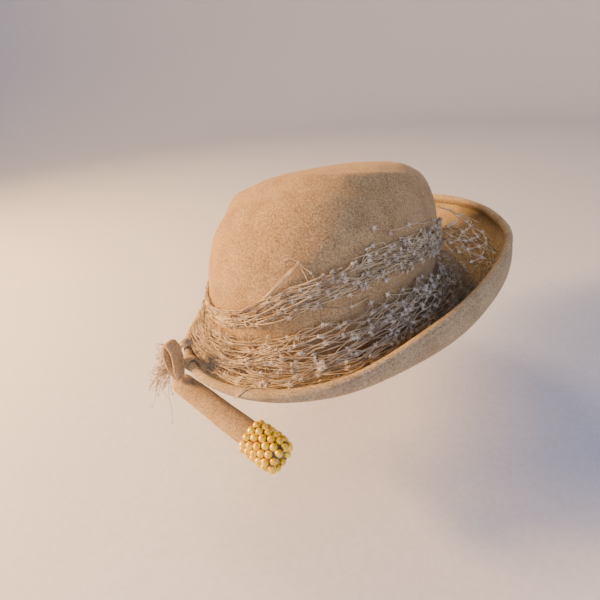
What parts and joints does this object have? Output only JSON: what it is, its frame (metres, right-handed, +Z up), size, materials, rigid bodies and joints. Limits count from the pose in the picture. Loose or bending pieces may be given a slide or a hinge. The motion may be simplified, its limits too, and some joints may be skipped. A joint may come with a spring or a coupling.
{
  "type": "felt hat with turned-up brim and veil",
  "caption": "Soft felt hat with a domed crown, a brim turned up with a rolled edge, gathered net veil, and a hanging felt quill with a pearl cuff.",
  "frame": {"origin": "middle of the head opening, level with the underside of the brim at the crown's foot", "axes": "+Z up, -Y the wearer's front, +X the wearer's left"},
  "size_m": [0.2216, 0.292, 0.1541],
  "materials": {
    "crown_felt": "felt with a short nap",
    "brim_felt": "felt with a short nap",
    "veil_upper_net": "knotted net",
    "veil_lower_net": "knotted net",
    "veil_tail_net": "knotted net",
    "loop_felt": "felt with a short nap",
    "strap_felt": "felt with a short nap",
    "quill_felt": "felt with a short nap",
    "pearls": "gold coated bead"
  },
  "bodies": {
    "root": {"crown": "crown_felt", "brim": "brim_felt", "veil_upper": "veil_upper_net", "veil_lower": "veil_lower_net", "veil_tail": "veil_tail_net", "felt_loop": "loop_felt", "loop_strap": "strap_felt", "quill": "quill_felt", "pearl_cuff": "pearls"}
  },
  "joints": []
}
